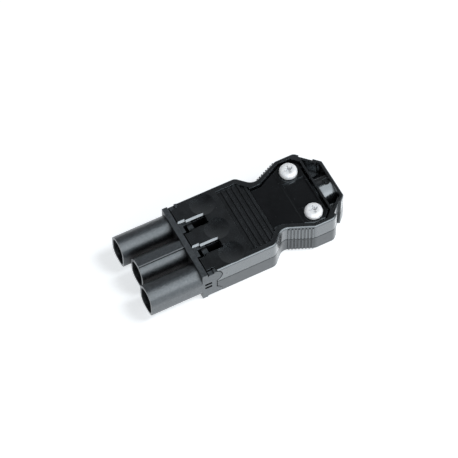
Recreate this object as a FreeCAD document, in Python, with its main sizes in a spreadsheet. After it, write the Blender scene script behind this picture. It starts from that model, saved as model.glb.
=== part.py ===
import FreeCAD, Part
import math
import os

import Sketcher
from FreeCAD import Vector

# Three-pole appliance plug for field wiring: two half shells, a contact carrier with three shroud
# tubes, screw terminals and a screwed strain relief. Millimetres, +Z up, the tubes point to -X,
# and the origin is under the middle of the plug, on the surface that it lies on.
# X is measured from the front face of the carrier's flange; the places of the grip, the shoulder, the
# flare, the strain relief and the cable end are measured forward from the cable end.

DRIVING_SIZES = {
    # housing, seen from above
    "body_length": 63.8,
    "body_width": 34.0,
    "shoulder_start": 33.1,
    "neck_width": 23.2,
    "flare_end": 16.1,
    "rear_width": 33.6,
    "end_width": 17.4,
    "shoulder_radius": 3.0,
    "neck_radius": 4.0,
    "flare_radius": 2.4,
    "end_radius": 1.0,
    # housing, seen from the side
    "body_height": 15.0,
    "parting_height": 7.5,
    "edge_radius": 0.7,
    "shell_wall": 1.5,
    "nose_wall": 0.8,
    "roof_thickness": 1.8,
    "floor_thickness": 1.8,
    "seam_gap": 0.3,
    "seam_bevel": 0.35,
    # finger grip on the cover
    "grip_start": 42.3,
    "grip_border": 2.4,
    "grip_depth": 0.8,
    "grip_rib_width": 0.9,
    "grip_rib_height": 0.45,
    "grip_rib_pitch": 2.18,
    "grip_rib_lead": 1.8,
    "grip_rib_inset": 0.5,
    # upright ribs on the flared sides
    "flare_rib_width": 0.62,
    "flare_rib_height": 0.4,
    "flare_rib_pitch": 1.3,
    "flare_rib_lead": 2.2,
    # shallow dishes over the terminal screws
    "dish_width": 9.8,
    "dish_depth": 0.3,
    # latch notches between the poles
    "notch_width": 4.9,
    "notch_length": 3.1,
    "notch_slot_width": 3.6,
    "notch_slot_length": 7.5,
    "notch_bevel": 0.7,
    # cable end of the housing
    "end_wall": 1.4,
    "ridge_thickness": 0.8,
    "pit_floor_thickness": 1.4,
    "pit_wall": 0.9,
    "channel_start": 6.5,
    "channel_length": 4.0,
    "channel_depth": 1.0,
    "cable_bore": 11.0,
    "arch_wall": 1.5,
    "gate_place": 3.0,
    "gate_width": 3.0,
    "gate_depth": 0.45,
    "gate_nub_width": 1.0,
    "gate_nub_height": 0.35,
    # strain relief
    "clamp_start": 30.4,
    "clamp_end": 7.7,
    "clamp_rim": 1.6,
    "clamp_neck_lead": 1.7,
    "clamp_flare_lead": 0.5,
    "clamp_corner_rim": 4.0,
    "clamp_gap": 0.7,
    "clamp_front_gap": 0.25,
    "clamp_top": 14.2,
    "clamp_bar_start": 19.0,
    "clamp_bar_thickness": 2.3,
    "clamp_apron_step": 0.4,
    "clamp_apron_thickness": 1.2,
    "clamp_edge_radius": 0.5,
    "clamp_panel_width": 12.4,
    "clamp_panel_border": 0.9,
    "clamp_panel_depth": 0.5,
    "clamp_tooth_width": 1.2,
    "clamp_tooth_height": 0.7,
    "clamp_tooth_length": 11.0,
    "clamp_lug_place": 10.7,
    "clamp_lug_width": 1.0,
    "clamp_lug_gap": 0.15,
    "saddle_width": 4.0,
    "saddle_height": 2.9,
    "saddle_bore": 10.0,
    # clamp screws
    "screw_place": 13.7,
    "screw_spread": 20.3,
    "screw_head_width": 7.0,
    "screw_head_height": 2.7,
    "screw_head_bevel": 0.9,
    "screw_shank_width": 3.5,
    "screw_shank_length": 9.1,
    "screw_seat_width": 8.2,
    "screw_seat_depth": 0.3,
    "screw_hole_gap": 0.2,
    "screw_boss_gap": 0.1,
    "screw_boss_width": 7.6,
    "screw_boss_depth": 6.2,
    "screw_cross_width": 1.0,
    "screw_cross_reach": 4.0,
    "screw_cross_depth": 1.3,
    # contact carrier
    "flange_thickness": 2.2,
    "flange_tab_length": 1.5,
    "pole_pitch": 12.0,
    "tube_length": 21.0,
    "tube_width": 10.0,
    "tube_bottom": 1.2,
    "tube_top": 14.1,
    "tube_wall": 1.0,
    "tube_crown_flat": 0.1,
    "tube_foot_radius": 4.0,
    "middle_tube_length": 18.9,
    "middle_rail_width": 3.8,
    "middle_rail_height": 0.5,
    "middle_rail_edge": 0.4,
    "tab_thickness": 1.8,
    "tab_clearance": 0.35,
    "tab_end": 5.8,
    "tab_bottom": 0.7,
    "tab_top": 14.0,
    "lobe_place": 4.9,
    "lobe_radius": 3.1,
    "upper_lobe_height": 11.7,
    "lower_lobe_height": 1.3,
    "tab_notch": 0.6,
    "tab_slot_start": 1.0,
    "tab_slot_length": 2.9,
    "tab_slot_height": 1.2,
    "tab_slot_spread": 2.1,
    "tab_slot_depth": 1.6,
    "carrier_clearance": 0.3,
    "carrier_end": 19.6,
    "catch_start": 5.7,
    "catch_length": 2.2,
    "catch_drop": 0.9,
    "latch_well_depth": 6.0,
    # terminals inside the carrier
    "chamber_wall": 0.4,
    "chamber_clearance": 0.2,
    "terminal_length": 8.6,
    "terminal_width": 6.4,
    "terminal_height": 6.6,
    "terminal_floor": 3.0,
    "terminal_edge": 0.4,
    "wire_window_width": 3.9,
    "wire_window_height": 4.0,
    "wire_window_depth": 6.4,
    "wire_window_floor": 1.0,
    "pin_width": 3.2,
    "pin_shank_width": 2.4,
    "pin_gap": 0.05,
    "pin_reach": 13.5,
    "earth_pin_reach": 14.0,
    "pin_seat": 1.9,
    "pin_tip_bevel": 0.8,
    "terminal_screw_width": 3.0,
    "terminal_screw_head_width": 5.0,
    "terminal_screw_head_height": 1.7,
    "terminal_screw_lift": 0.6,
    "terminal_screw_slot": 0.8,
    "terminal_screw_slot_depth": 0.8,
    "terminal_screw_gap": 0.05,
    "access_gap": 0.4,
    "guard_thickness": 0.4,
    "guard_width": 3.4,
    "guard_lip": 2.0,
    "guard_gap": 0.05,
}

GRIP_RIBS = 5
FLARE_RIBS = 8
POLES = {"l": -1, "pe": 0, "n": 1}
OVERCUT = 1.0
TOLERANCE = 0.01


class Size:
    """A length that keeps the sheet expression it comes from."""

    def __init__(self, text, value):
        self.text = text
        self.value = value

    def __add__(self, other):
        other = as_size(other)
        return Size(f"({self.text} + {other.text})", self.value + other.value)

    def __sub__(self, other):
        other = as_size(other)
        return Size(f"({self.text} - {other.text})", self.value - other.value)

    def __mul__(self, other):
        other = as_size(other)
        return Size(f"({self.text} * {other.text})", self.value * other.value)

    def __truediv__(self, other):
        other = as_size(other)
        return Size(f"({self.text} / {other.text})", self.value / other.value)

    def __neg__(self):
        return Size(f"(0 - {self.text})", -self.value)


def as_size(number):
    """A plain number as a Size, and a Size as it is."""
    if isinstance(number, Size):
        return number
    return Size(str(number), float(number))


class Dimensions:
    """The sheet's cells by their names."""


doc = FreeCAD.newDocument("appliance_plug")
sheet = doc.addObject("Spreadsheet::Sheet", "sizes")
d = Dimensions()
for row, (name, value) in enumerate(DRIVING_SIZES.items(), start=1):
    sheet.set(f"A{row}", name)
    sheet.set(f"B{row}", str(value))
    sheet.setAlias(f"B{row}", name)
    setattr(d, name, Size(f"sizes.{name}", value))
doc.recompute()

# Places that several pieces share
zero = as_size(0)
centre_shift = (d.body_length - d.tube_length) / 2
shoulder_place = d.body_length - d.shoulder_start
flare_place = d.body_length - d.flare_end
grip_place = d.body_length - d.grip_start
clamp_front = d.body_length - d.clamp_start
clamp_back = d.body_length - d.clamp_end
bar_front = d.body_length - d.clamp_bar_start
screw_axis = d.body_length - d.screw_place
channel_front = d.body_length - d.channel_start
gate_axis = d.body_length - d.gate_place
half_width = d.body_width / 2
neck_half = d.neck_width / 2
rear_half = d.rear_width / 2
end_half = d.end_width / 2
neck_place = shoulder_place + half_width - neck_half
chamfer_start = d.body_length - (rear_half - end_half)
chamfer_sum = d.body_length + end_half
shell_front = d.flange_thickness + d.seam_gap
ceiling = d.body_height - d.roof_thickness
grip_floor = d.body_height - d.grip_depth
tab_depth = d.tab_thickness + d.tab_clearance
nose_half = half_width - tab_depth - d.nose_wall
chamber_half = half_width - d.shell_wall
terminal_front = d.lobe_place + d.lobe_radius + d.shell_wall
clamp_neck_half = neck_half - d.clamp_rim
clamp_rear_half = rear_half - d.clamp_rim
clamp_chamfer_sum = chamfer_sum - d.clamp_corner_rim
clamp_bottom = d.clamp_top - d.clamp_bar_thickness
apron_top = d.clamp_top - d.clamp_apron_step
pit_start = clamp_back + d.ridge_thickness
pit_end = d.body_length - d.end_wall
latch_place = d.pole_pitch / 2
terminal_top = d.terminal_floor + d.terminal_height
terminal_start = terminal_front + d.carrier_clearance
block_start = terminal_start + d.chamber_wall
block_end = block_start + d.terminal_length
terminal_middle = block_start + d.terminal_length / 2
wire_roof = d.terminal_floor + d.wire_window_floor + d.wire_window_height
carrier_top = ceiling - d.carrier_clearance
screw_half = d.screw_spread / 2
SLANT = math.sqrt(2)


def bind(feature, name, size):
    """Ties one property of a feature to the sheet."""
    feature.setExpression(name, as_size(size).text)


def new_body(label, side=zero, along=None):
    """A body whose place follows the plug's length; side and along move it in Y and X."""
    body = doc.addObject("PartDesign::Body", label)
    body.Label = label
    place = -centre_shift if along is None else along - centre_shift
    bind(body, ".Placement.Base.x", place)
    bind(body, ".Placement.Base.y", side)
    return body


def new_sketch(body, name, role, lift=zero):
    """A sketch on one of the body's origin planes, moved along the plane's normal by lift."""
    sketch = body.newObject("Sketcher::SketchObject", name)
    plane = next(item for item in body.Origin.OriginFeatures if item.Role == role)
    sketch.AttachmentSupport = [(plane, "")]
    sketch.MapMode = "FlatFace"
    bind(sketch, ".AttachmentOffset.Base.z", lift)
    return sketch


def hold(sketch, geometry, end, place):
    """Ties one point of the sketch to two sizes, measured from the sketch's origin."""
    for kind, axis, size in zip(("DistanceX", "DistanceY"), (-2, -1), place):
        size = as_size(size)
        if size.value == 0:
            sketch.addConstraint(Sketcher.Constraint("PointOnObject", geometry, end, axis))
            continue
        if size.value > 0:
            number = sketch.addConstraint(Sketcher.Constraint(kind, -1, 1, geometry, end, size.value))
        else:
            size = -size
            number = sketch.addConstraint(Sketcher.Constraint(kind, geometry, end, -1, 1, size.value))
        bind(sketch, f"Constraints[{number}]", size)


def outlines(body, name, role, lift, shapes):
    """One sketch of several closed outlines, each through its own points."""
    sketch = new_sketch(body, name, role, lift)
    for points in shapes:
        first = sketch.GeometryCount
        corners = [Vector(as_size(x).value, as_size(y).value, 0) for x, y in points]
        count = len(corners)
        for index in range(count):
            sketch.addGeometry(Part.LineSegment(corners[index], corners[(index + 1) % count]), False)
        for index in range(count):
            following = first + (index + 1) % count
            sketch.addConstraint(Sketcher.Constraint("Coincident", first + index, 2, following, 1))
        for index in range(count):
            hold(sketch, first + index, 1, points[index])
    return sketch


def outline(body, name, role, lift, points):
    """A sketch of one closed outline through the given points."""
    return outlines(body, name, role, lift, [points])


def corners_of(low, high):
    """The four corners of a rectangle from two opposite ones."""
    return [low, (high[0], low[1]), high, (low[0], high[1])]


def rectangle(body, name, role, lift, low, high):
    """A sketch of one rectangle between two opposite corners."""
    return outline(body, name, role, lift, corners_of(low, high))


def circles(body, name, role, lift, centres, radius):
    """One sketch of equal circles about their centres."""
    sketch = new_sketch(body, name, role, lift)
    for index, centre in enumerate(centres):
        middle = Vector(as_size(centre[0]).value, as_size(centre[1]).value, 0)
        sketch.addGeometry(Part.Circle(middle, Vector(0, 0, 1), radius.value), False)
        number = sketch.addConstraint(Sketcher.Constraint("Radius", index, radius.value))
        bind(sketch, f"Constraints[{number}]", radius)
        hold(sketch, index, 3, centre)
    return sketch


def circle(body, name, role, lift, centre, radius):
    """A sketch of one circle about a centre."""
    return circles(body, name, role, lift, [centre], radius)


def both_sides(half):
    """A closed outline from its half at positive Y."""
    return [(x, -y) for x, y in half] + [(x, y) for x, y in reversed(half)]


def pad(body, sketch, length):
    """Material along the sketch's normal."""
    feature = body.newObject("PartDesign::Pad", sketch.Name + "_pad")
    feature.Profile = sketch
    bind(feature, "Length", length)
    doc.recompute()
    return feature


def pocket(body, sketch, length, upward=False):
    """A cut against the sketch's normal, or along it, which has to take material away."""
    before = body.Shape.Volume
    feature = body.newObject("PartDesign::Pocket", sketch.Name + "_pocket")
    feature.Profile = sketch
    bind(feature, "Length", length)
    feature.Reversed = upward
    doc.recompute()
    if body.Shape.Volume > before - TOLERANCE:
        raise RuntimeError(f"{feature.Name} cuts nothing")
    return feature


def fillet(body, names, radius):
    """Rounds the named edges of the body as it stands."""
    if not names:
        raise RuntimeError(f"{body.Label} has no such edges to round")
    base = body.Tip
    feature = body.newObject("PartDesign::Fillet", body.Label + "_round")
    feature.Base = (base, names)
    bind(feature, "Radius", radius)
    doc.recompute()
    return feature


def chamfer(body, names, width):
    """Breaks the named edges of the body as it stands at 45 degrees."""
    if not names:
        raise RuntimeError(f"{body.Label} has no such edges to break")
    base = body.Tip
    feature = body.newObject("PartDesign::Chamfer", body.Label + "_bevel")
    feature.Base = (base, names)
    bind(feature, "Size", width)
    doc.recompute()
    return feature


def edges_at(body, axis, places):
    """Names of the straight edges along one axis (0, 1 or 2) that pass through the given places."""
    others = [index for index in range(3) if index != axis]
    wanted = [tuple(as_size(value).value for value in place) for place in places]
    names = []
    for number, edge in enumerate(body.Tip.Shape.Edges, start=1):
        ends = [vertex.Point for vertex in edge.Vertexes]
        if len(ends) < 2 or abs(ends[0][axis] - ends[1][axis]) < TOLERANCE:
            continue
        for place in wanted:
            gaps = [abs(point[other] - value) for point in ends for other, value in zip(others, place)]
            if max(gaps) < TOLERANCE:
                names.append(f"Edge{number}")
                break
    return names


def edges_at_height(body, height):
    """Names of the edges that lie flat at one height."""
    level = as_size(height).value
    names = []
    for number, edge in enumerate(body.Tip.Shape.Edges, start=1):
        middle = edge.valueAt((edge.FirstParameter + edge.LastParameter) / 2)
        heights = [vertex.Point.z for vertex in edge.Vertexes] + [middle.z]
        if max(abs(value - level) for value in heights) < TOLERANCE:
            names.append(f"Edge{number}")
    return names


def pattern_along(body, feature, direction, length, copies):
    """Evenly spaced copies of one feature along a direction."""
    row = body.newObject("PartDesign::LinearPattern", feature.Name + "_row")
    row.Originals = [feature]
    row.Direction = direction
    bind(row, "Length", length)
    row.Occurrences = copies
    body.Tip = row
    doc.recompute()
    return row


def origin_axis(body, role):
    """One of the body's origin axes, as a pattern's direction."""
    axis = next(item for item in body.Origin.OriginFeatures if item.Role == role)
    return (axis, [""])


def housing_outline():
    """Half of the housing's plan: straight sides, a 45 degree shoulder, a neck, a flare and a chamfer."""
    return [
        (shell_front, half_width),
        (shoulder_place, half_width),
        (neck_place, neck_half),
        (flare_place, rear_half),
        (chamfer_start, rear_half),
        (d.body_length, end_half),
    ]


def clamp_outline(gap, front_gap):
    """Half of the strain relief's plan: the housing's neck and flare, set in by the rim and a gap."""
    chamfer = clamp_chamfer_sum - gap * SLANT
    rear = clamp_back - gap
    return [
        (clamp_front + front_gap, clamp_neck_half - gap),
        (neck_place + d.clamp_neck_lead, clamp_neck_half - gap),
        (flare_place + d.clamp_flare_lead, clamp_rear_half - gap),
        (chamfer - (clamp_rear_half - gap), clamp_rear_half - gap),
        (rear, chamfer - rear),
    ]


def wire_chamber_outline():
    """Half of the hollow behind the flange: narrow between the side tabs, then wide to the neck."""
    shoulder = shoulder_place - d.shell_wall * (SLANT - 1)
    return [
        (zero, nose_half),
        (terminal_front, nose_half),
        (terminal_front, chamber_half),
        (shoulder, chamber_half),
        (shoulder + chamber_half - clamp_neck_half, clamp_neck_half),
    ]


def mirrored_places(places):
    """The same plan places on both sides of the plug."""
    return places + [(x, -y) for x, y in places]


def round_plan_corners(body):
    """Rounds the upright corners of a half shell."""
    fillet(body, edges_at(body, 2, mirrored_places([(shoulder_place, half_width)])), d.shoulder_radius)
    fillet(body, edges_at(body, 2, mirrored_places([(neck_place, neck_half)])), d.neck_radius)
    flare_corners = mirrored_places([(flare_place, rear_half), (chamfer_start, rear_half)])
    fillet(body, edges_at(body, 2, flare_corners), d.flare_radius)
    fillet(body, edges_at(body, 2, mirrored_places([(d.body_length, end_half)])), d.end_radius)


def cut_side_channels(body):
    """Upright channels in the rear chamfers, between the shell's ear and the end wall's arm."""
    inset = d.channel_depth / SLANT
    start = channel_front
    end = start + d.channel_length
    shapes = []
    for side in (-1, 1):
        corners = ((start, OVERCUT), (start, -inset), (end, -inset), (end, OVERCUT))
        shapes.append([(place + reach, (chamfer_sum - place + reach) * side) for place, reach in corners])
    pocket(body, outlines(body, f"{body.Label}_channels", "XY_Plane", d.body_height, shapes), d.body_height)


def cut_tab_seats(body, lobe_height):
    """Seats for the carrier's side tabs: a straight step and a round bay for the lobe."""
    for side, face in (("near", half_width), ("far", tab_depth - half_width)):
        low = (zero, -as_size(OVERCUT))
        high = (d.tab_end + d.tab_clearance, d.body_height + OVERCUT)
        step = rectangle(body, f"{body.Label}_tab_step_{side}", "XZ_Plane", face, low, high)
        pocket(body, step, tab_depth)
        place = (d.lobe_place, lobe_height)
        radius = d.lobe_radius + d.tab_clearance
        bay = circle(body, f"{body.Label}_lobe_bay_{side}", "XZ_Plane", face, place, radius)
        pocket(body, bay, tab_depth)


def add_flare_ribs(body, lift, height):
    """Upright grip ribs along both flared sides."""
    rise = rear_half - neck_half
    run = flare_place - neck_place
    for side, sign in (("near", -1), ("far", 1)):
        name = f"{body.Label}_flare_rib_{side}"
        low = (d.flare_rib_lead, -d.flare_rib_height)
        high = (d.flare_rib_lead + d.flare_rib_width, d.flare_rib_height)
        sketch = rectangle(body, name, "XY_Plane", lift, low, high)
        bind(sketch, ".AttachmentOffset.Base.x", neck_place)
        bind(sketch, ".AttachmentOffset.Base.y", neck_half * sign)
        sketch.setExpression(".AttachmentOffset.Rotation.Angle", f"atan({rise.text} / {run.text}) * {sign}")
        doc.recompute()
        rib = pad(body, sketch, height)
        pattern_along(body, rib, (sketch, ["H_Axis"]), d.flare_rib_pitch * (FLARE_RIBS - 1), FLARE_RIBS)


def upper_housing():
    """Cover: grip, latch notches, strain relief opening and the upper half of the cable entry."""
    body = new_body("upper_housing")
    top = d.body_height
    half_height = top - d.parting_height
    plan = outline(body, "cover_outline", "XY_Plane", d.parting_height, both_sides(housing_outline()))
    pad(body, plan, half_height)
    round_plan_corners(body)
    chamfer(body, edges_at_height(body, d.parting_height), d.seam_bevel)
    fillet(body, edges_at_height(body, top), d.edge_radius)
    cut_tab_seats(body, d.upper_lobe_height)
    hollow = outline(body, "cover_hollow", "XY_Plane", d.parting_height, both_sides(wire_chamber_outline()))
    pocket(body, hollow, ceiling - d.parting_height, upward=True)
    opening = outline(body, "clamp_opening", "XY_Plane", top, both_sides(clamp_outline(zero, zero)))
    pocket(body, opening, half_height)
    cut_cable_end(body)
    cut_latch_notches(body)
    sink_dishes(body)
    add_finger_grip(body)
    seam_top = d.parting_height + d.seam_bevel
    add_flare_ribs(body, seam_top, top - d.edge_radius - seam_top)
    return body


def cut_latch_notches(body):
    """T-shaped notches between the poles, open towards the flange, for the mating part's hooks."""
    wide_end = shell_front + d.notch_length
    slot_end = wide_end + d.notch_slot_length
    wide = d.notch_width / 2
    slim = d.notch_slot_width / 2
    shapes = []
    for place in (-latch_place, latch_place):
        shapes.append([
            (zero, place - wide),
            (wide_end, place - wide),
            (wide_end, place - slim),
            (slot_end, place - slim),
            (slot_end, place + slim),
            (wide_end, place + slim),
            (wide_end, place + wide),
            (zero, place + wide),
        ])
    notches = outlines(body, "latch_notches", "XY_Plane", d.body_height, shapes)
    pocket(body, notches, d.body_height - d.parting_height)
    bevel_notch_sides(body, "wide", wide_end, wide_end, wide)
    bevel_notch_sides(body, "slot", slot_end, d.notch_slot_length, slim)


def bevel_notch_sides(body, name, end, length, half):
    """Lead-in bevels along the upper edges of the latch notches."""
    top = d.body_height
    shapes = []
    for place in (-latch_place, latch_place):
        reach = half + d.notch_bevel + OVERCUT
        shapes.append([
            (place - reach, top + OVERCUT),
            (place - half, top - d.notch_bevel),
            (place + half, top - d.notch_bevel),
            (place + reach, top + OVERCUT),
        ])
    pocket(body, outlines(body, f"notch_bevels_{name}", "YZ_Plane", end, shapes), length)


def add_finger_grip(body):
    """Recess that follows the shoulder, with straight ribs across it."""
    grip_half = half_width - d.grip_border
    grip_sum = shoulder_place + half_width - d.grip_border * SLANT
    plan = [
        (grip_place, grip_half),
        (grip_sum - grip_half, grip_half),
        (clamp_front, grip_sum - clamp_front),
    ]
    pocket(body, outline(body, "grip_recess", "XY_Plane", d.body_height, both_sides(plan)), d.grip_depth)
    first = grip_place + d.grip_rib_lead
    rib_half = grip_half - d.grip_rib_inset
    low = (first, -rib_half)
    high = (first + d.grip_rib_width, rib_half)
    rib = pad(body, rectangle(body, "grip_rib", "XY_Plane", grip_floor, low, high), d.grip_rib_height)
    pattern_along(body, rib, origin_axis(body, "X_Axis"), d.grip_rib_pitch * (GRIP_RIBS - 1), GRIP_RIBS)


def cut_cable_end(body):
    """Pits beside the cable arch, the arch itself and the bore through the end wall."""
    top = d.body_height
    wall_sum = chamfer_sum - (d.channel_depth + d.pit_wall) * SLANT
    arm_sum = chamfer_sum - d.end_wall * SLANT
    arm_start = channel_front + d.channel_length
    pit_plan = [
        (pit_start, wall_sum - pit_start),
        (arm_start, wall_sum - arm_start),
        (arm_start, arm_sum - arm_start),
        (pit_end, arm_sum - pit_end),
    ]
    pit_floor = d.parting_height + d.pit_floor_thickness
    pocket(body, outline(body, "cable_pits", "XY_Plane", top, both_sides(pit_plan)), top - pit_floor)
    axis = (zero, d.parting_height)
    arch_radius = d.cable_bore / 2 + d.arch_wall
    arch = circle(body, "cable_arch", "YZ_Plane", pit_start - d.ridge_thickness / 2, axis, arch_radius)
    pad(body, arch, pit_end + d.end_wall / 2 - pit_start + d.ridge_thickness / 2)
    low = (clamp_back, -arch_radius - OVERCUT)
    high = (d.body_length, arch_radius + OVERCUT)
    pocket(body, rectangle(body, "arch_trim", "XY_Plane", d.parting_height, low, high), d.body_height)
    cut_cable_bore(body)
    cut_side_channels(body)
    sink_gate(body, d.parting_height + arch_radius)


def sink_gate(body, crown):
    """Round dimple on the arch's crown with the stub of the moulding gate in it."""
    place = (gate_axis, zero)
    dimple = circle(body, "gate_dimple", "XY_Plane", d.body_height, place, d.gate_width / 2)
    pocket(body, dimple, d.body_height - crown + d.gate_depth)
    nub = circle(body, "gate_nub", "XY_Plane", crown - d.gate_depth, place, d.gate_nub_width / 2)
    pad(body, nub, d.gate_nub_height)


def cut_cable_bore(body):
    """Half of the round cable entry, from the strain relief out through the end wall."""
    axis = (zero, d.parting_height)
    bore = circle(body, f"{body.Label}_bore", "YZ_Plane", d.body_length + OVERCUT, axis, d.cable_bore / 2)
    pocket(body, bore, d.body_length - clamp_back + OVERCUT * 2)


def sink_dishes(body):
    """A shallow round dish over each terminal screw."""
    reach = d.dish_width / 2
    radius = (reach * reach + d.dish_depth * d.dish_depth) / (d.dish_depth * 2)
    for pole, step in POLES.items():
        dish = body.newObject("PartDesign::SubtractiveSphere", f"dish_{pole}")
        bind(dish, "Radius", radius)
        bind(dish, ".Placement.Base.x", terminal_middle)
        bind(dish, ".Placement.Base.y", d.pole_pitch * step)
        bind(dish, ".Placement.Base.z", d.body_height + radius - d.dish_depth)
        doc.recompute()


def lower_housing():
    """Base shell: wire chamber, screw bosses, cable saddle and the lower half of the cable entry."""
    body = new_body("lower_housing")
    plan = outline(body, "base_outline", "XY_Plane", zero, both_sides(housing_outline()))
    pad(body, plan, d.parting_height)
    round_plan_corners(body)
    fillet(body, edges_at_height(body, 0), d.edge_radius)
    cut_tab_seats(body, d.lower_lobe_height)
    depth = d.parting_height - d.floor_thickness
    hollow = outline(body, "base_hollow", "XY_Plane", d.parting_height, both_sides(wire_chamber_outline()))
    pocket(body, hollow, depth)
    well = outline(body, "clamp_well", "XY_Plane", d.parting_height, both_sides(clamp_outline(zero, zero)))
    pocket(body, well, depth)
    cut_cable_bore(body)
    cut_side_channels(body)

    places = [(screw_axis, -screw_half), (screw_axis, screw_half)]
    bosses = circles(body, "screw_bosses", "XY_Plane", d.floor_thickness, places, d.screw_boss_width / 2)
    pad(body, bosses, depth)
    bore = d.screw_shank_width / 2 + d.screw_boss_gap
    bores = circles(body, "screw_bores", "XY_Plane", d.parting_height, places, bore)
    pocket(body, bores, d.screw_boss_depth)

    low = (screw_axis - d.saddle_width / 2, -d.saddle_bore / 2)
    high = (screw_axis + d.saddle_width / 2, d.saddle_bore / 2)
    pad(body, rectangle(body, "cable_saddle", "XY_Plane", d.floor_thickness, low, high), d.saddle_height)
    axis = (zero, d.parting_height)
    trough = circle(body, "saddle_trough", "YZ_Plane", high[0] + OVERCUT, axis, d.saddle_bore / 2)
    pocket(body, trough, d.saddle_width + OVERCUT * 2)
    add_flare_ribs(body, d.edge_radius, d.parting_height - d.edge_radius)
    return body


def shroud_tube(body, name, place, length):
    """A shroud tube in front of the flange: half-round crown, straight sides, round feet and an even wall."""
    half = d.tube_width / 2
    inner = half - d.tube_wall
    crown_height = d.tube_top - half
    floor = d.tube_bottom + d.tube_wall
    low = (place - half, d.tube_bottom)
    pad(body, rectangle(body, name, "YZ_Plane", -length, low, (place + half, d.tube_top)), length)
    crown_edges = edges_at(body, 0, [(place - half, d.tube_top), (place + half, d.tube_top)])
    fillet(body, crown_edges, half - d.tube_crown_flat / 2)
    crown = circle(body, f"{name}_crown_bore", "YZ_Plane", zero, (place, crown_height), inner)
    pocket(body, crown, length)
    inner_low = (place - inner, floor)
    bore = rectangle(body, f"{name}_bore", "YZ_Plane", zero, inner_low, (place + inner, crown_height))
    pocket(body, bore, length)
    inner_edges = edges_at(body, 0, [inner_low, (place + inner, floor)])
    fillet(body, inner_edges, d.tube_foot_radius - d.tube_wall)
    foot_edges = edges_at(body, 0, [low, (place + half, d.tube_bottom)])
    fillet(body, foot_edges, d.tube_foot_radius)


def add_coding_rail(body):
    """Rail with round edges on the crown of the middle tube, which codes the plug for its socket."""
    half = d.middle_rail_width / 2
    top = d.tube_top + d.middle_rail_height
    low = (-half, d.tube_top - d.tube_wall / 2)
    rail = rectangle(body, "tube_rail", "YZ_Plane", -d.middle_tube_length, low, (half, top))
    pad(body, rail, d.middle_tube_length)
    fillet(body, edges_at(body, 0, [(-half, top), (half, top)]), d.middle_rail_edge)


def contact_carrier():
    """Insulating carrier: flange, three shroud tubes, side tabs and the terminal chambers."""
    body = new_body("contact_carrier")
    for pole, step in POLES.items():
        length = d.tube_length if step else d.middle_tube_length
        shroud_tube(body, f"tube_{pole}", d.pole_pitch * step, length)
    add_coding_rail(body)
    flange = rectangle(body, "flange", "YZ_Plane", zero, (-half_width, zero), (half_width, d.body_height))
    pad(body, flange, d.flange_thickness)
    add_side_tabs(body)
    add_terminal_housing(body)
    cut_latch_wells(body)
    return body


def add_side_tabs(body):
    """Side tabs with round lobes that lock both half shells to the carrier."""
    inner = half_width - d.tab_thickness
    slot_inner = half_width - d.tab_slot_depth
    flange = d.flange_thickness
    reach = d.lobe_place + d.lobe_radius + OVERCUT
    below = d.tab_bottom - d.lobe_radius * 2
    above = d.body_height + OVERCUT
    top_trim = [
        (flange, d.tab_top - d.tab_notch),
        (flange + d.tab_notch, d.tab_top),
        (d.lobe_place, d.tab_top),
        (d.lobe_place, above),
        (flange, above),
    ]
    foot_trim = [
        (zero, zero),
        (zero, below),
        (reach, below),
        (reach, d.tab_bottom),
        (flange, d.tab_bottom),
        (flange, zero),
    ]
    slots = []
    for sign in (-1, 1):
        height = d.parting_height + d.tab_slot_spread / 2 * sign
        slot_low = (d.tab_slot_start, height - d.tab_slot_height / 2)
        slot_high = (d.tab_slot_start + d.tab_slot_length, height + d.tab_slot_height / 2)
        slots.append(corners_of(slot_low, slot_high))
    lobes = [(d.lobe_place, d.upper_lobe_height), (d.lobe_place, d.lower_lobe_height)]
    # The XZ plane's normal points to the near side, so lifts are distances towards it
    for side, pad_lift, trim_lift, slot_lift in (
        ("near", inner, half_width, half_width),
        ("far", -half_width, -inner, -slot_inner),
    ):
        low = (flange, d.tab_bottom)
        plate = rectangle(body, f"tab_{side}", "XZ_Plane", pad_lift, low, (d.tab_end, d.tab_top))
        pad(body, plate, d.tab_thickness)
        pad(body, circles(body, f"lobes_{side}", "XZ_Plane", pad_lift, lobes, d.lobe_radius), d.tab_thickness)
        trims = outlines(body, f"tab_trims_{side}", "XZ_Plane", trim_lift, [top_trim, foot_trim])
        pocket(body, trims, d.tab_thickness)
        pocket(body, outlines(body, f"tab_slots_{side}", "XZ_Plane", slot_lift, slots), d.tab_slot_depth)


def add_terminal_housing(body):
    """Block behind the flange: terminal chambers, pin holes and screw access."""
    bottom = d.floor_thickness
    neck = nose_half - d.carrier_clearance
    wide = chamber_half - d.carrier_clearance
    plan = [
        (d.flange_thickness, neck),
        (terminal_start, neck),
        (terminal_start, wide),
        (d.carrier_end, wide),
    ]
    pad(body, outline(body, "terminal_housing", "XY_Plane", bottom, both_sides(plan)), carrier_top - bottom)

    places = [d.pole_pitch * step for step in POLES.values()]
    half = d.terminal_width / 2 + d.chamber_clearance
    chamber_top = terminal_top + d.chamber_clearance
    shapes = [corners_of((place - half, d.terminal_floor), (place + half, chamber_top)) for place in places]
    chambers = outlines(body, "terminal_chambers", "YZ_Plane", d.carrier_end, shapes)
    pocket(body, chambers, d.carrier_end - terminal_start - d.chamber_wall)
    axes = [(place, d.parting_height) for place in places]
    pin_holes = circles(body, "pin_holes", "YZ_Plane", zero, axes, d.pin_shank_width / 2 + d.pin_gap)
    pocket(body, pin_holes, d.carrier_end, upward=True)
    shafts = [(terminal_middle, place) for place in places]
    access = d.terminal_screw_head_width / 2 + d.access_gap
    openings = circles(body, "screw_access", "XY_Plane", carrier_top, shafts, access)
    pocket(body, openings, carrier_top - terminal_top)


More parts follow.
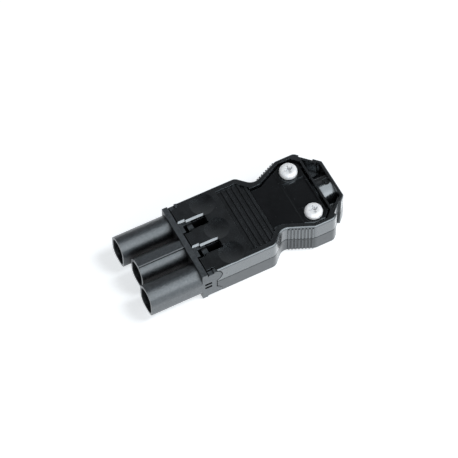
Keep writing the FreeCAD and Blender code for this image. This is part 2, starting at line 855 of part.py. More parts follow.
def cut_latch_wells(body):
    """Tabs on the flange, and wells with a low catch between them, under the cover's latch notches."""
    slim = d.notch_slot_width / 2
    wide = d.notch_width / 2 - d.tab_clearance
    tab_end = d.flange_thickness + d.flange_tab_length
    catch_end = d.catch_start + d.catch_length
    well_end = shell_front + d.notch_length + d.notch_slot_length
    tabs = []
    wells = []
    catches = []
    for place in (-latch_place, latch_place):
        tabs.append(corners_of((d.flange_thickness, place - wide), (tab_end, place + wide)))
        wells.append(corners_of((tab_end, place - slim), (d.catch_start, place + slim)))
        wells.append(corners_of((catch_end, place - slim), (well_end, place + slim)))
        catches.append(corners_of((d.catch_start, place - slim), (catch_end, place + slim)))
    rise = d.body_height - carrier_top - d.tab_clearance
    pad(body, outlines(body, "flange_tabs", "XY_Plane", carrier_top, tabs), rise)
    pocket(body, outlines(body, "latch_wells", "XY_Plane", carrier_top, wells), d.latch_well_depth)
    pocket(body, outlines(body, "latch_catches", "XY_Plane", carrier_top, catches), d.catch_drop)


def contact_pin(pole, step):
    """Turned contact pin with a bevelled tip and a thinner shank; the earth pin reaches further out."""
    body = new_body(f"contact_pin_{pole}", side=d.pole_pitch * step)
    reach = d.pin_reach if step else d.earth_pin_reach
    axis = (zero, d.parting_height)
    pad(body, circle(body, f"pin_{pole}", "YZ_Plane", -reach, axis, d.pin_width / 2), reach)
    tip = [f"Edge{number}" for number, edge in enumerate(body.Tip.Shape.Edges, start=1)
           if abs(edge.BoundBox.XMax + reach.value) < TOLERANCE]
    chamfer(body, tip, d.pin_tip_bevel)
    shank = circle(body, f"pin_shank_{pole}", "YZ_Plane", zero, axis, d.pin_shank_width / 2)
    pad(body, shank, block_start + d.pin_seat)
    return body


def terminal_block(pole, step):
    """Brass terminal with a pin socket, a wire window and a threaded screw hole."""
    body = new_body(f"terminal_block_{pole}", side=d.pole_pitch * step)
    half = d.terminal_width / 2
    low = (-half, d.terminal_floor)
    section = rectangle(body, f"block_{pole}", "YZ_Plane", block_start, low, (half, terminal_top))
    pad(body, section, d.terminal_length)
    fillet(body, edges_at(body, 0, [(-half, terminal_top), (half, terminal_top)]), d.terminal_edge)
    window_half = d.wire_window_width / 2
    low = (-window_half, d.terminal_floor + d.wire_window_floor)
    window = rectangle(body, f"wire_window_{pole}", "YZ_Plane", block_end, low, (window_half, wire_roof))
    pocket(body, window, d.wire_window_depth)
    axis = (zero, d.parting_height)
    radius = d.pin_shank_width / 2 + d.pin_gap
    socket = circle(body, f"pin_socket_{pole}", "YZ_Plane", block_start + d.pin_seat, axis, radius)
    pocket(body, socket, d.pin_seat)
    thread = d.terminal_screw_width / 2 + d.terminal_screw_gap
    hole = circle(body, f"thread_{pole}", "XY_Plane", terminal_top, (terminal_middle, zero), thread)
    pocket(body, hole, terminal_top - wire_roof)
    return body


def turned_screw(body, name, bottom, shank_length, shank_radius, head_radius, head_height, head_bevel):
    """A screw on the body's own Z axis: plain shank, head and a bevelled head edge."""
    pad(body, circle(body, f"{name}_shank", "XY_Plane", bottom, (zero, zero), shank_radius), shank_length)
    seat = bottom + shank_length
    pad(body, circle(body, f"{name}_head", "XY_Plane", seat, (zero, zero), head_radius), head_height)
    chamfer(body, edges_at_height(body, seat + head_height), head_bevel)
    return seat + head_height


def terminal_screw(pole, step):
    """Slotted terminal screw, standing open above its wire."""
    body = new_body(f"terminal_screw_{pole}", side=d.pole_pitch * step, along=terminal_middle)
    length = terminal_top + d.terminal_screw_lift - wire_roof
    top = turned_screw(body, f"terminal_screw_{pole}", wire_roof, length, d.terminal_screw_width / 2,
                       d.terminal_screw_head_width / 2, d.terminal_screw_head_height, d.terminal_edge)
    slot_half = d.terminal_screw_slot / 2
    reach = d.terminal_screw_head_width
    slot = rectangle(body, f"driver_slot_{pole}", "XY_Plane", top, (-slot_half, -reach), (slot_half, reach))
    pocket(body, slot, d.terminal_screw_slot_depth)
    return body


def wire_guard(pole, step):
    """Springy leaf between screw and wire, bent up behind the terminal."""
    body = new_body(f"wire_guard_{pole}", side=d.pole_pitch * step)
    rear = block_end + d.guard_gap
    top = wire_roof - d.guard_gap
    under = top - d.guard_thickness
    front = rear - d.wire_window_depth + d.guard_thickness
    lip_top = under + d.guard_lip
    points = [
        (front, under),
        (rear + d.guard_thickness, under),
        (rear + d.guard_thickness, lip_top),
        (rear, lip_top),
        (rear, top),
        (front, top),
    ]
    pad(body, outline(body, f"guard_{pole}", "XZ_Plane", -d.guard_width / 2, points), d.guard_width)
    return body


def strain_relief_clamp():
    """Clamp plate: a thin apron towards the neck, a thick bar with two screw holes and gripping teeth."""
    body = new_body("strain_relief_clamp")
    plan = clamp_outline(d.clamp_gap, d.clamp_front_gap)
    neck_end = plan[1]
    flare_end = plan[2]
    rear = plan[-1][0]
    slope = (flare_end[1] - neck_end[1]) / (flare_end[0] - neck_end[0])
    bar_half = neck_end[1] + (bar_front - neck_end[0]) * slope
    bar_plan = [(bar_front, bar_half)] + plan[2:]
    bar = outline(body, "clamp_bar", "XY_Plane", clamp_bottom, both_sides(bar_plan))
    pad(body, bar, d.clamp_bar_thickness)
    fillet(body, edges_at_height(body, d.clamp_top), d.clamp_edge_radius)
    apron_plan = plan[:2] + [(bar_front, bar_half)]
    apron_bottom = apron_top - d.clamp_apron_thickness
    apron = outline(body, "clamp_apron", "XY_Plane", apron_bottom, both_sides(apron_plan))
    pad(body, apron, d.clamp_apron_thickness)

    panel_half = d.clamp_panel_width / 2
    panel_low = (bar_front + d.clamp_panel_border, -panel_half)
    panel_high = (rear - d.clamp_panel_border, panel_half)
    panel = rectangle(body, "clamp_panel", "XY_Plane", d.clamp_top, panel_low, panel_high)
    pocket(body, panel, d.clamp_panel_depth)
    places = [(screw_axis, -screw_half), (screw_axis, screw_half)]
    seats = circles(body, "screw_seats", "XY_Plane", d.clamp_top, places, d.screw_seat_width / 2)
    pocket(body, seats, d.screw_seat_depth)
    hole = d.screw_shank_width / 2 + d.screw_hole_gap
    pocket(body, circles(body, "clamp_holes", "XY_Plane", d.clamp_top, places, hole), d.clamp_bar_thickness)

    lugs = []
    lug_half = d.clamp_lug_width / 2
    for place in (-d.clamp_lug_place, d.clamp_lug_place):
        lug_start = (rear - d.clamp_edge_radius * 2, place - lug_half)
        lugs.append(corners_of(lug_start, (clamp_back - d.clamp_lug_gap, place + lug_half)))
    lug_height = d.clamp_bar_thickness - d.clamp_edge_radius
    pad(body, outlines(body, "clamp_lugs", "XY_Plane", clamp_bottom, lugs), lug_height)

    teeth = []
    tooth_half = d.clamp_tooth_width / 2
    for place in (screw_axis - d.saddle_width / 2, screw_axis + d.saddle_width / 2):
        tooth_low = (place - tooth_half, -d.clamp_tooth_length / 2)
        teeth.append(corners_of(tooth_low, (place + tooth_half, d.clamp_tooth_length / 2)))
    tooth_bottom = clamp_bottom - d.clamp_tooth_height
    pad(body, outlines(body, "clamp_teeth", "XY_Plane", tooth_bottom, teeth), d.clamp_tooth_height)
    return body


def clamp_screw(name, sign):
    """Pan-head screw with a cross recess that draws the clamp down into the base shell."""
    body = new_body(f"clamp_screw_{name}", side=screw_half * sign, along=screw_axis)
    bottom = d.clamp_top - d.screw_seat_depth - d.screw_shank_length
    top = turned_screw(body, f"clamp_screw_{name}", bottom, d.screw_shank_length, d.screw_shank_width / 2,
                       d.screw_head_width / 2, d.screw_head_height, d.screw_head_bevel)
    arm = d.screw_cross_width / 2
    reach = d.screw_cross_reach / 2
    cross = [
        (-arm, -reach),
        (arm, -reach),
        (arm, -arm),
        (reach, -arm),
        (reach, arm),
        (arm, arm),
        (arm, reach),
        (-arm, reach),
        (-arm, arm),
        (-reach, arm),
        (-reach, -arm),
        (-arm, -arm),
    ]
    pocket(body, outline(body, f"cross_recess_{name}", "XY_Plane", top, cross), d.screw_cross_depth)
    return body


def build_plug():
    """Every piece of the plug, in the order in which it is put together."""
    pieces = [lower_housing(), contact_carrier()]
    for pole, step in POLES.items():
        pieces.append(contact_pin(pole, step))
        pieces.append(terminal_block(pole, step))
        pieces.append(wire_guard(pole, step))
        pieces.append(terminal_screw(pole, step))
    pieces.append(upper_housing())
    pieces.append(strain_relief_clamp())
    pieces.append(clamp_screw("left", -1))
    pieces.append(clamp_screw("right", 1))
    return pieces


def check(pieces):
    """Stops if an object failed or a piece isn't one valid solid."""
    doc.recompute()
    failed = [item.Name for item in doc.Objects if "Invalid" in item.State or "Error" in item.State]
    if failed:
        raise RuntimeError(f"failed objects: {failed}")
    for piece in pieces:
        shape = piece.Shape
        if shape.isNull() or not shape.isValid() or len(shape.Solids) != 1:
            raise RuntimeError(f"{piece.Label} is not one valid solid")


plug_pieces = build_plug()
check(plug_pieces)
os.makedirs("parts", exist_ok=True)
for plug_piece in plug_pieces:
    plug_piece.Shape.exportStep(f"parts/{plug_piece.Label}.step")
    print(plug_piece.Label, round(plug_piece.Shape.Volume, 1))
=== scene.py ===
import math

import bpy
from mathutils import Matrix, Vector


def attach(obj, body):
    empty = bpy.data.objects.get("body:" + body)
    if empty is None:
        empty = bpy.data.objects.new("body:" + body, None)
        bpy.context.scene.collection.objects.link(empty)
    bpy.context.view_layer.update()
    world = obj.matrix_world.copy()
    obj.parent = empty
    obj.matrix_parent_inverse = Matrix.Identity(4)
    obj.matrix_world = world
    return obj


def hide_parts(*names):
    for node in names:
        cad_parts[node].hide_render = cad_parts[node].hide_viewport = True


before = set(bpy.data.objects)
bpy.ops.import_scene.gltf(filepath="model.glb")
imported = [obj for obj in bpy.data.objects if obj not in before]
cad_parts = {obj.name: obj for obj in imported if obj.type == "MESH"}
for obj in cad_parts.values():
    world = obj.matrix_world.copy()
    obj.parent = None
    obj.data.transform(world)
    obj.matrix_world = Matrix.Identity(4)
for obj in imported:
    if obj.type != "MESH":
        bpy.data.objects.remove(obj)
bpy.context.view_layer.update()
scene = bpy.context.scene
scene.view_settings.view_transform = "Standard"


# Table top: a white board that the plug lies on, large enough to fill the view.
# It takes the plug's soft shadow, and a lift of white keeps it as pale as paper to the eye.
table_side = 6.0
table_drop = 0.00005
paper_white = (0.855, 0.868, 0.88, 1.0)
lift_white = (0.955, 0.98, 1.0, 1.0)
lift_strength = 0.66


def new_material(name):
    """An empty node material, with its tree."""
    material = bpy.data.materials.new(name)
    material.use_nodes = True
    material.node_tree.nodes.clear()
    return material, material.node_tree


def add_node(tree, kind, **sockets):
    """A shader node with some of its sockets set, their names written with _ for a space."""
    added = tree.nodes.new(kind)
    for socket, value in sockets.items():
        added.inputs[socket.replace("_", " ")].default_value = value
    return added


def greater_of(tree, first, second):
    """The greater of two node outputs."""
    greater = tree.nodes.new("ShaderNodeMath")
    greater.operation = "MAXIMUM"
    tree.links.new(first, greater.inputs[0])
    tree.links.new(second, greater.inputs[1])
    return greater.outputs[0]


def show(tree, kind, shader):
    """Links a finished shader to the output of its tree."""
    surface = tree.nodes.new(kind)
    tree.links.new(shader.outputs[0], surface.inputs["Surface"])


bpy.ops.object.select_all(action="DESELECT")
bpy.ops.mesh.primitive_plane_add(size=table_side, location=(0.0, 0.0, 0.0))
table = bpy.context.object
table.name = "table_top"
bpy.ops.object.mode_set(mode="EDIT")
bpy.ops.mesh.subdivide(number_cuts=3)
bpy.ops.transform.translate(value=(0.0, 0.0, -table_drop))
bpy.ops.object.mode_set(mode="OBJECT")
board, tree = new_material("white_board")
paper = add_node(tree, "ShaderNodeBsdfDiffuse", Color=paper_white)
lift = add_node(tree, "ShaderNodeEmission", Color=lift_white)
rays = tree.nodes.new("ShaderNodeLightPath")
seen = greater_of(tree, rays.outputs["Is Camera Ray"], rays.outputs["Is Glossy Ray"])
seen = greater_of(tree, seen, rays.outputs["Is Transmission Ray"])
amount = tree.nodes.new("ShaderNodeMath")
amount.operation = "MULTIPLY"
amount.inputs[1].default_value = lift_strength
tree.links.new(seen, amount.inputs[0])
tree.links.new(amount.outputs[0], lift.inputs["Strength"])
both = tree.nodes.new("ShaderNodeAddShader")
tree.links.new(paper.outputs[0], both.inputs[0])
tree.links.new(lift.outputs[0], both.inputs[1])
show(tree, "ShaderNodeOutputMaterial", both)
table.data.materials.append(board)


# Studio: a wide soft box beside the camera lights the plug and draws the bright lines on its round edges.
# A smaller lamp lights the table alone, where the plug's shadow falls away from it.
# The room is pale low down and on the camera's side, and its dim ceiling keeps flat black tops dark.
lamp_white = (0.94, 0.975, 1.0)
lamp_distance = 1.15
wall_white = (0.97, 0.985, 1.0, 1.0)
room_glow = ((0.1, 1.0), (0.26, 0.05), (0.5, 0.06), (0.68, 0.24), (0.9, 0.0))


def hang_lamp(name, way, wide, tall, watts, table_state):
    """A soft lamp that faces the plug and either leaves out the table or lights it alone."""
    panel = bpy.data.lights.new(name, "AREA")
    panel.shape = "RECTANGLE"
    panel.size = wide
    panel.size_y = tall
    panel.energy = watts
    panel.color = lamp_white
    lamp = bpy.data.objects.new(name, panel)
    scene.collection.objects.link(lamp)
    lamp.location = way.normalized() * lamp_distance
    lamp.rotation_euler = way.normalized().to_track_quat("Z", "Y").to_euler()
    lit = bpy.data.collections.new(f"{name}_reach")
    lit.objects.link(table)
    lit.collection_objects[0].light_linking.link_state = table_state
    lamp.light_linking.receiver_collection = lit


def set_ramp(ramp, stops):
    """Sets the colours of a ramp, each at its place from 0 to 1, in rising order."""
    first, *between, last = stops
    for end, (place, colour) in zip(ramp.elements, (first, last)):
        end.position = place
        end.color = (*colour, 1.0)
    for place, colour in between:
        stop = ramp.elements.new(place)
        stop.color = (*colour, 1.0)


hang_lamp("soft_box", way=Vector((0.24, -0.485, 0.841)), wide=1.6, tall=1.5, watts=17.5,
          table_state="EXCLUDE")
hang_lamp("table_lamp", way=Vector((0.46, -0.23, 0.86)), wide=0.4, tall=0.4, watts=5.4,
          table_state="INCLUDE")

room = bpy.data.worlds.new("studio_room")
scene.world = room
room.use_nodes = True
tree = room.node_tree
tree.nodes.clear()
way = tree.nodes.new("ShaderNodeTexCoord")
split = tree.nodes.new("ShaderNodeSeparateXYZ")
tree.links.new(way.outputs["Generated"], split.inputs[0])
shade = tree.nodes.new("ShaderNodeValToRGB")
set_ramp(shade.color_ramp, [(height, (glow, glow, glow)) for height, glow in room_glow])
tree.links.new(split.outputs["Z"], shade.inputs["Fac"])
near = add_node(tree, "ShaderNodeMapRange", From_Min=-0.35, From_Max=-0.8, To_Min=0.0, To_Max=0.9)
near.interpolation_type = "SMOOTHSTEP"
tree.links.new(split.outputs["Y"], near.inputs["Value"])
pale = greater_of(tree, shade.outputs[0], near.outputs[0])
wall = add_node(tree, "ShaderNodeBackground", Color=wall_white)
tree.links.new(pale, wall.inputs["Strength"])
show(tree, "ShaderNodeOutputWorld", wall)


# Camera: a long lens that looks down on the plug from its shrouded front and its near side.
# It stands nearly a metre off, turned by about a degree, and slid a little to frame the plug.
camera_lens = 196.5
camera_sensor = 36.0
camera_aim = Vector((0.0036, 0.0, 0.0075))
camera_distance = 0.94236
camera_turn = math.radians(1.03)
slide_left = 0.00479
slide_down = 0.00031
camera_data = bpy.data.cameras.new("photo_camera")
camera_data.lens = camera_lens
camera_data.sensor_width = camera_sensor
camera = bpy.data.objects.new("photo_camera", camera_data)
scene.collection.objects.link(camera)
across = Vector((0.8966, -0.4429, 0.0)).normalized()
back = Vector((-0.2399, -0.4856, 0.8407)).normalized()
rise = back.cross(across).normalized()
camera_right = across * math.cos(camera_turn) - rise * math.sin(camera_turn)
camera_up = across * math.sin(camera_turn) + rise * math.cos(camera_turn)
camera_place = camera_aim + back * camera_distance - across * slide_left - rise * slide_down
camera.matrix_world = Matrix((
    (camera_right.x, camera_up.x, back.x, camera_place.x),
    (camera_right.y, camera_up.y, back.y, camera_place.y),
    (camera_right.z, camera_up.z, back.z, camera_place.z),
    (0.0, 0.0, 0.0, 1.0),
))
scene.camera = camera


# Base shell: the lower half of the housing, injection moulded in black polyamide.
# The mould's spark-eroded skin makes it satin, and it meets the cover in a fine seam at mid height.
def moulded_plastic(name, dark, pale, flow_scale, rough, grain, grain_depth,
                    sink_depth, edge, index, skin_gloss, reach):
    """Black moulded plastic: faint colour flow, uneven gloss, shallow sinks, grain, soft edges, some dust.

    Painted shade: its colour, coat and reflection tint darken in recesses whose walls stand within the
    reach.
    """
    dust_grey = (0.62, 0.64, 0.68, 1.0)
    gloss_swing = 0.04
    coat_share = 0.7
    shut_in = 0.35
    open_air = 0.85
    shadow_tone = (0.03, 0.03, 0.03)
    sky_tone = (0.75, 0.9, 1.0)
    material, tree = new_material(name)
    place = tree.nodes.new("ShaderNodeTexCoord")
    flow = add_node(tree, "ShaderNodeTexNoise", Scale=flow_scale, Detail=4.0, Roughness=0.55)
    tree.links.new(place.outputs["Object"], flow.inputs["Vector"])
    tint = tree.nodes.new("ShaderNodeValToRGB")
    set_ramp(tint.color_ramp, ((0.32, dark), (0.7, pale)))
    tree.links.new(flow.outputs["Fac"], tint.inputs["Fac"])

    specks = add_node(tree, "ShaderNodeTexVoronoi", Scale=420.0, Randomness=1.0)
    tree.links.new(place.outputs["Object"], specks.inputs["Vector"])
    spots = add_node(tree, "ShaderNodeMapRange", From_Min=0.055, From_Max=0.025, To_Min=0.0, To_Max=0.16)
    tree.links.new(specks.outputs["Distance"], spots.inputs["Value"])
    dusty = tree.nodes.new("ShaderNodeMix")
    dusty.data_type = "RGBA"
    dust_amount = dusty.inputs[0]
    bare_colour = dusty.inputs[6]
    dust_colour = dusty.inputs[7]
    dusty_colour = dusty.outputs[2]
    dust_colour.default_value = dust_grey
    tree.links.new(spots.outputs[0], dust_amount)
    tree.links.new(tint.outputs["Color"], bare_colour)

    patches = add_node(tree, "ShaderNodeTexNoise", Scale=420.0, Detail=3.0)
    tree.links.new(place.outputs["Object"], patches.inputs["Vector"])
    gloss = add_node(tree, "ShaderNodeMapRange", From_Min=0.3, From_Max=0.7,
                     To_Min=rough - gloss_swing, To_Max=rough + gloss_swing)
    tree.links.new(patches.outputs["Fac"], gloss.inputs["Value"])

    soft = add_node(tree, "ShaderNodeBevel", Radius=edge)
    soft.samples = 6
    sinks = add_node(tree, "ShaderNodeTexNoise", Scale=330.0, Detail=3.0, Distortion=0.8)
    tree.links.new(place.outputs["Object"], sinks.inputs["Vector"])
    uneven = add_node(tree, "ShaderNodeBump", Strength=1.0, Distance=sink_depth)
    tree.links.new(sinks.outputs["Fac"], uneven.inputs["Height"])
    tree.links.new(soft.outputs[0], uneven.inputs["Normal"])
    skin = add_node(tree, "ShaderNodeTexNoise", Scale=grain, Detail=2.0)
    tree.links.new(place.outputs["Object"], skin.inputs["Vector"])
    bump = add_node(tree, "ShaderNodeBump", Strength=0.6, Distance=grain_depth)
    tree.links.new(skin.outputs["Fac"], bump.inputs["Height"])
    tree.links.new(uneven.outputs[0], bump.inputs["Normal"])

    # Painted shade: ambient occlusion darkens the base colour in crevices, and takes the coat and the
    # bluish specular tint down to near black there.
    painted_hollow_shade = add_node(tree, "ShaderNodeAmbientOcclusion", Distance=reach)
    painted_hollow_shade.samples = 8
    painted_hollow_shade.only_local = True
    tree.links.new(dusty_colour, painted_hollow_shade.inputs["Color"])
    shine = add_node(tree, "ShaderNodeMapRange", From_Min=shut_in, From_Max=open_air,
                     To_Min=0.0, To_Max=skin_gloss)
    tree.links.new(painted_hollow_shade.outputs["AO"], shine.inputs["Value"])
    tone = tree.nodes.new("ShaderNodeValToRGB")
    set_ramp(tone.color_ramp, ((shut_in, shadow_tone), (open_air, sky_tone)))
    tree.links.new(painted_hollow_shade.outputs["AO"], tone.inputs["Fac"])

    plastic = add_node(tree, "ShaderNodeBsdfPrincipled", IOR=index, Coat_IOR=index,
                       Coat_Roughness=rough * coat_share)
    tree.links.new(painted_hollow_shade.outputs["Color"], plastic.inputs["Base Color"])
    tree.links.new(gloss.outputs[0], plastic.inputs["Roughness"])
    tree.links.new(bump.outputs[0], plastic.inputs["Normal"])
    tree.links.new(shine.outputs[0], plastic.inputs["Coat Weight"])
    tree.links.new(tone.outputs["Color"], plastic.inputs["Specular Tint"])
    show(tree, "ShaderNodeOutputMaterial", plastic)
    return material


def dress(node, material):
    """Gives a carried-over node its finish."""
    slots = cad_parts[node].data.materials
    slots.clear()
    slots.append(material)


base_plastic = moulded_plastic(
    "base_plastic", dark=(0.009, 0.009, 0.010), pale=(0.014, 0.014, 0.0155), flow_scale=160.0,
    rough=0.34, grain=6500.0, grain_depth=0.000003, sink_depth=0.00002,
    edge=0.00016, index=1.6, skin_gloss=0.7, reach=0.001)
dress("lower_housing", base_plastic)


# Contact carrier: flange, shroud tubes, side tabs and terminal chambers in one black moulding.
# Its mould was spark eroded more coarsely, so it is grainier and a little greyer than the shells.
# It lies between the two shells, and round lobes on its side tabs lock them to it.
# Its long reach paints shade into the valleys between the tubes and into the corners at the flange.
carrier_plastic = moulded_plastic(
    "carrier_plastic", dark=(0.0, 0.0, 0.0), pale=(0.034, 0.035, 0.0385), flow_scale=1100.0,
    rough=0.48, grain=2400.0, grain_depth=0.0003, sink_depth=0.00002,
    edge=0.00016, index=1.78, skin_gloss=0.7, reach=0.012)
dress("contact_carrier", carrier_plastic)


# Contact pins and terminal blocks: brass, the pins turned from rod and the blocks sawn from profile.
# The pins are pressed into the blocks, and the carrier's chambers hold both.
def turned_metal(name, low, high, rough, rings, direction, bare=1.0, clean=0.65):
    """Metal with fine tool marks one way, faint blotches, and painted shade in its finest recesses."""
    smoother = 0.06
    duller = 0.08
    material, tree = new_material(name)
    place = tree.nodes.new("ShaderNodeTexCoord")
    blotches = add_node(tree, "ShaderNodeTexNoise", Scale=900.0, Detail=4.0)
    tree.links.new(place.outputs["Object"], blotches.inputs["Vector"])
    tint = tree.nodes.new("ShaderNodeValToRGB")
    set_ramp(tint.color_ramp, ((0.35, low), (clean, high)))
    tree.links.new(blotches.outputs["Fac"], tint.inputs["Fac"])
    gloss = add_node(tree, "ShaderNodeMapRange", To_Min=rough - smoother, To_Max=rough + duller)
    tree.links.new(blotches.outputs["Fac"], gloss.inputs["Value"])

    marks = add_node(tree, "ShaderNodeTexWave", Scale=rings, Distortion=0.6, Detail=2.0)
    marks.bands_direction = direction
    tree.links.new(place.outputs["Object"], marks.inputs["Vector"])
    soft = add_node(tree, "ShaderNodeBevel", Radius=0.0001)
    soft.samples = 4
    bump = add_node(tree, "ShaderNodeBump", Strength=0.25, Distance=0.00001)
    tree.links.new(marks.outputs["Fac"], bump.inputs["Height"])
    tree.links.new(soft.outputs[0], bump.inputs["Normal"])

    # Painted shade: ambient occlusion darkens the base colour in recesses within 0.3 mm, such as the
    # screws' cross.
    painted_groove_shade = add_node(tree, "ShaderNodeAmbientOcclusion", Distance=0.0003)
    painted_groove_shade.samples = 8
    painted_groove_shade.only_local = True
    tree.links.new(tint.outputs["Color"], painted_groove_shade.inputs["Color"])
    metal = add_node(tree, "ShaderNodeBsdfPrincipled", Metallic=bare)
    tree.links.new(painted_groove_shade.outputs["Color"], metal.inputs["Base Color"])
    tree.links.new(gloss.outputs[0], metal.inputs["Roughness"])
    tree.links.new(bump.outputs[0], metal.inputs["Normal"])
    show(tree, "ShaderNodeOutputMaterial", metal)
    return material


poles = ("l", "pe", "n")
pin_brass = turned_metal(
    "pin_brass", low=(0.62, 0.5, 0.26), high=(0.76, 0.64, 0.38), rough=0.28, rings=2600.0, direction="X")
block_brass = turned_metal(
    "block_brass", low=(0.58, 0.46, 0.23), high=(0.72, 0.6, 0.34), rough=0.38, rings=1500.0, direction="Z")
for pole in poles:
    dress(f"contact_pin_{pole}", pin_brass)
    dress(f"terminal_block_{pole}", block_brass)


# Wire guards: leaves of rolled spring steel in the wire windows of the terminal blocks.
# They lie between screw and wire, bent up behind the block, and keep the screw's tip off the strands.
guard_steel = turned_metal(
    "guard_steel", low=(0.5, 0.5, 0.51), high=(0.6, 0.6, 0.61), rough=0.32, rings=3200.0, direction="X")
for pole in poles:
    dress(f"wire_guard_{pole}", guard_steel)


# Terminal screws: slotted steel screws with a bright zinc skin, one in each terminal block.
# They are turned from above with the cover off, and press the guard onto the wire.
terminal_zinc = turned_metal(
    "terminal_zinc", low=(0.7, 0.71, 0.73), high=(0.84, 0.85, 0.87), rough=0.3, rings=1900.0, direction="Z")
for pole in poles:
    dress(f"terminal_screw_{pole}", terminal_zinc)


# Cover: the upper half of the housing, moulded in the same black polyamide as the base.
# It is a little darker and shinier than the base, and the carrier's side tabs hold it there.
cover_plastic = moulded_plastic(
    "cover_plastic", dark=(0.001, 0.001, 0.0012), pale=(0.009, 0.0093, 0.0108), flow_scale=160.0,
    rough=0.25, grain=6500.0, grain_depth=0.000003, sink_depth=0.00003,
    edge=0.00016, index=1.88, skin_gloss=1.0, reach=0.002)
dress("upper_housing", cover_plastic)


# Strain relief clamp: a smooth black plate that the two screws draw down onto the cable.
# Its mould was polished, so it is smoother than the shells round it.
clamp_plastic = moulded_plastic(
    "clamp_plastic", dark=(0.004, 0.004, 0.0045), pale=(0.007, 0.007, 0.0078), flow_scale=160.0,
    rough=0.18, grain=3000.0, grain_depth=0.000003, sink_depth=0.00003,
    edge=0.00022, index=1.6, skin_gloss=0.5, reach=0.001)
dress("strain_relief_clamp", clamp_plastic)


# Clamp screws: pan-head steel screws with a cross recess and a coarse thread for plastic.
# They are cold formed, thread rolled and zinc plated, turn in the base's bosses and draw the clamp down.
# The left one is modelled, and the right one is its copy.
screw_x = 0.0287
screw_y = 0.01015
screw_seat = 0.01393
screw_crown = 0.0166
screw_tip = 0.0048
head_radius = 0.0035
seat_rounding = 0.0009
crown_rounding = 0.0015
same_height = 0.00001
cross_arm = 0.00115
cross_span = 0.0042
cross_heart = 0.0021
cross_cutter_height = 0.0034
cross_taper = 0.62
core_radius = 0.00128
core_length = screw_seat - screw_tip
tip_zone = 0.0001
tip_taper = 0.7
ridge_radius = 0.0003
ridge_offset = 0.00146
ridge_start = screw_tip + 0.0005
thread_pitch = 0.00127
thread_turns = 6
thread_steps = 28
thread_weld = 0.000001
smooth_angle = math.radians(32.0)


def pick(piece, kind, chosen):
    """Opens a piece in edit mode with only those of its vertices or edges selected that a test takes."""
    bpy.ops.object.mode_set(mode="EDIT")
    bpy.ops.mesh.select_mode(type=kind)
    bpy.ops.mesh.select_all(action="DESELECT")
    bpy.ops.object.mode_set(mode="OBJECT")
    elements = piece.data.edges if kind == "EDGE" else piece.data.vertices
    for element in elements:
        element.select = chosen(element)
    bpy.ops.object.mode_set(mode="EDIT")


def join_to(first, other):
    """Makes two pieces one, under the first one's name."""
    bpy.ops.object.select_all(action="DESELECT")
    other.select_set(True)
    first.select_set(True)
    bpy.context.view_layer.objects.active = first
    bpy.ops.object.join()


bpy.ops.object.select_all(action="DESELECT")
bpy.ops.mesh.primitive_cylinder_add(
    vertices=72, radius=head_radius, depth=screw_crown - screw_seat,
    location=(screw_x, -screw_y, (screw_seat + screw_crown) / 2))
left_screw = bpy.context.object
left_screw.name = "pan_head_screw_left"
bpy.ops.object.transform_apply(location=True)
for height, rounding, steps in ((screw_seat, seat_rounding, 6), (screw_crown, crown_rounding, 9)):
    pick(left_screw, "EDGE", lambda edge: all(
        abs(left_screw.data.vertices[end].co.z - height) < same_height for end in edge.vertices))
    bpy.ops.mesh.bevel(offset=rounding, segments=steps, profile=0.55, affect="EDGES")
    bpy.ops.object.mode_set(mode="OBJECT")

for wide, long in ((cross_arm, cross_span), (cross_span, cross_arm), (cross_heart, cross_heart)):
    bpy.ops.object.select_all(action="DESELECT")
    bpy.ops.mesh.primitive_cube_add(size=1.0, location=(screw_x, -screw_y, screw_crown))
    cutter = bpy.context.object
    cutter.scale = (wide, long, cross_cutter_height)
    bpy.ops.object.transform_apply(location=True, scale=True)
    pick(cutter, "VERT", lambda corner: corner.co.z < screw_crown)
    bpy.ops.transform.resize(
        value=(cross_taper, cross_taper, 1.0), center_override=(screw_x, -screw_y, screw_crown))
    bpy.ops.object.mode_set(mode="OBJECT")
    sink = left_screw.modifiers.new("recess", "BOOLEAN")
    sink.operation = "DIFFERENCE"
    sink.solver = "EXACT"
    sink.object = cutter
    bpy.context.view_layer.objects.active = left_screw
    bpy.ops.object.modifier_apply(modifier=sink.name)
    bpy.data.objects.remove(cutter)

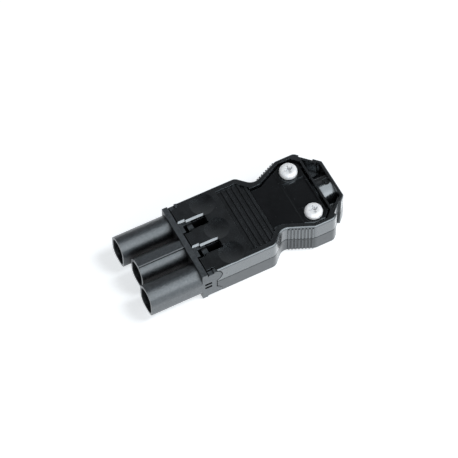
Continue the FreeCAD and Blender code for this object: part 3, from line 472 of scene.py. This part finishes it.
bpy.ops.object.select_all(action="DESELECT")
bpy.ops.mesh.primitive_cylinder_add(
    vertices=40, radius=core_radius, depth=core_length,
    location=(screw_x, -screw_y, screw_seat - core_length / 2))
core = bpy.context.object
bpy.ops.object.transform_apply(location=True)
pick(core, "VERT", lambda corner: corner.co.z < screw_tip + tip_zone)
bpy.ops.transform.resize(value=(tip_taper, tip_taper, 1.0), center_override=(screw_x, -screw_y, screw_tip))
bpy.ops.object.mode_set(mode="OBJECT")

bpy.ops.object.select_all(action="DESELECT")
bpy.ops.mesh.primitive_circle_add(
    vertices=3, radius=ridge_radius, fill_type="NOTHING",
    location=(ridge_offset, 0.0, ridge_start), rotation=(math.radians(90.0), 0.0, 0.0))
ridge = bpy.context.object
bpy.ops.object.transform_apply(location=True, rotation=True)
wind = ridge.modifiers.new("wind", "SCREW")
wind.axis = "Z"
wind.steps = thread_steps
wind.render_steps = thread_steps
wind.screw_offset = thread_pitch
wind.iterations = thread_turns
wind.use_merge_vertices = True
wind.merge_threshold = thread_weld
bpy.context.view_layer.objects.active = ridge
bpy.ops.object.modifier_apply(modifier=wind.name)
bpy.ops.object.mode_set(mode="EDIT")
bpy.ops.mesh.select_all(action="SELECT")
bpy.ops.mesh.fill_holes(sides=4)
bpy.ops.mesh.normals_make_consistent(inside=False)
bpy.ops.transform.translate(value=(screw_x, -screw_y, 0.0))
bpy.ops.object.mode_set(mode="OBJECT")

join_to(core, ridge)
join_to(left_screw, core)
bpy.ops.object.mode_set(mode="EDIT")
bpy.ops.mesh.select_all(action="SELECT")
bpy.ops.mesh.normals_make_consistent(inside=False)
bpy.ops.object.mode_set(mode="OBJECT")
bpy.ops.object.shade_smooth_by_angle(angle=smooth_angle)
screw_zinc = turned_metal(
    "screw_zinc", low=(0.88, 0.9, 0.93), high=(0.99, 0.99, 0.99), rough=0.56, rings=700.0, direction="Z",
    bare=0.35, clean=0.56)
left_screw.data.materials.clear()
left_screw.data.materials.append(screw_zinc)

bpy.ops.object.duplicate(linked=False)
right_screw = bpy.context.object
right_screw.name = "pan_head_screw_right"
bpy.ops.transform.translate(value=(0.0, 2 * screw_y, 0.0))
bpy.ops.object.transform_apply(location=True)
for side, screw in (("left", left_screw), ("right", right_screw)):
    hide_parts(f"clamp_screw_{side}")
    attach(screw, f"{side}_screw")
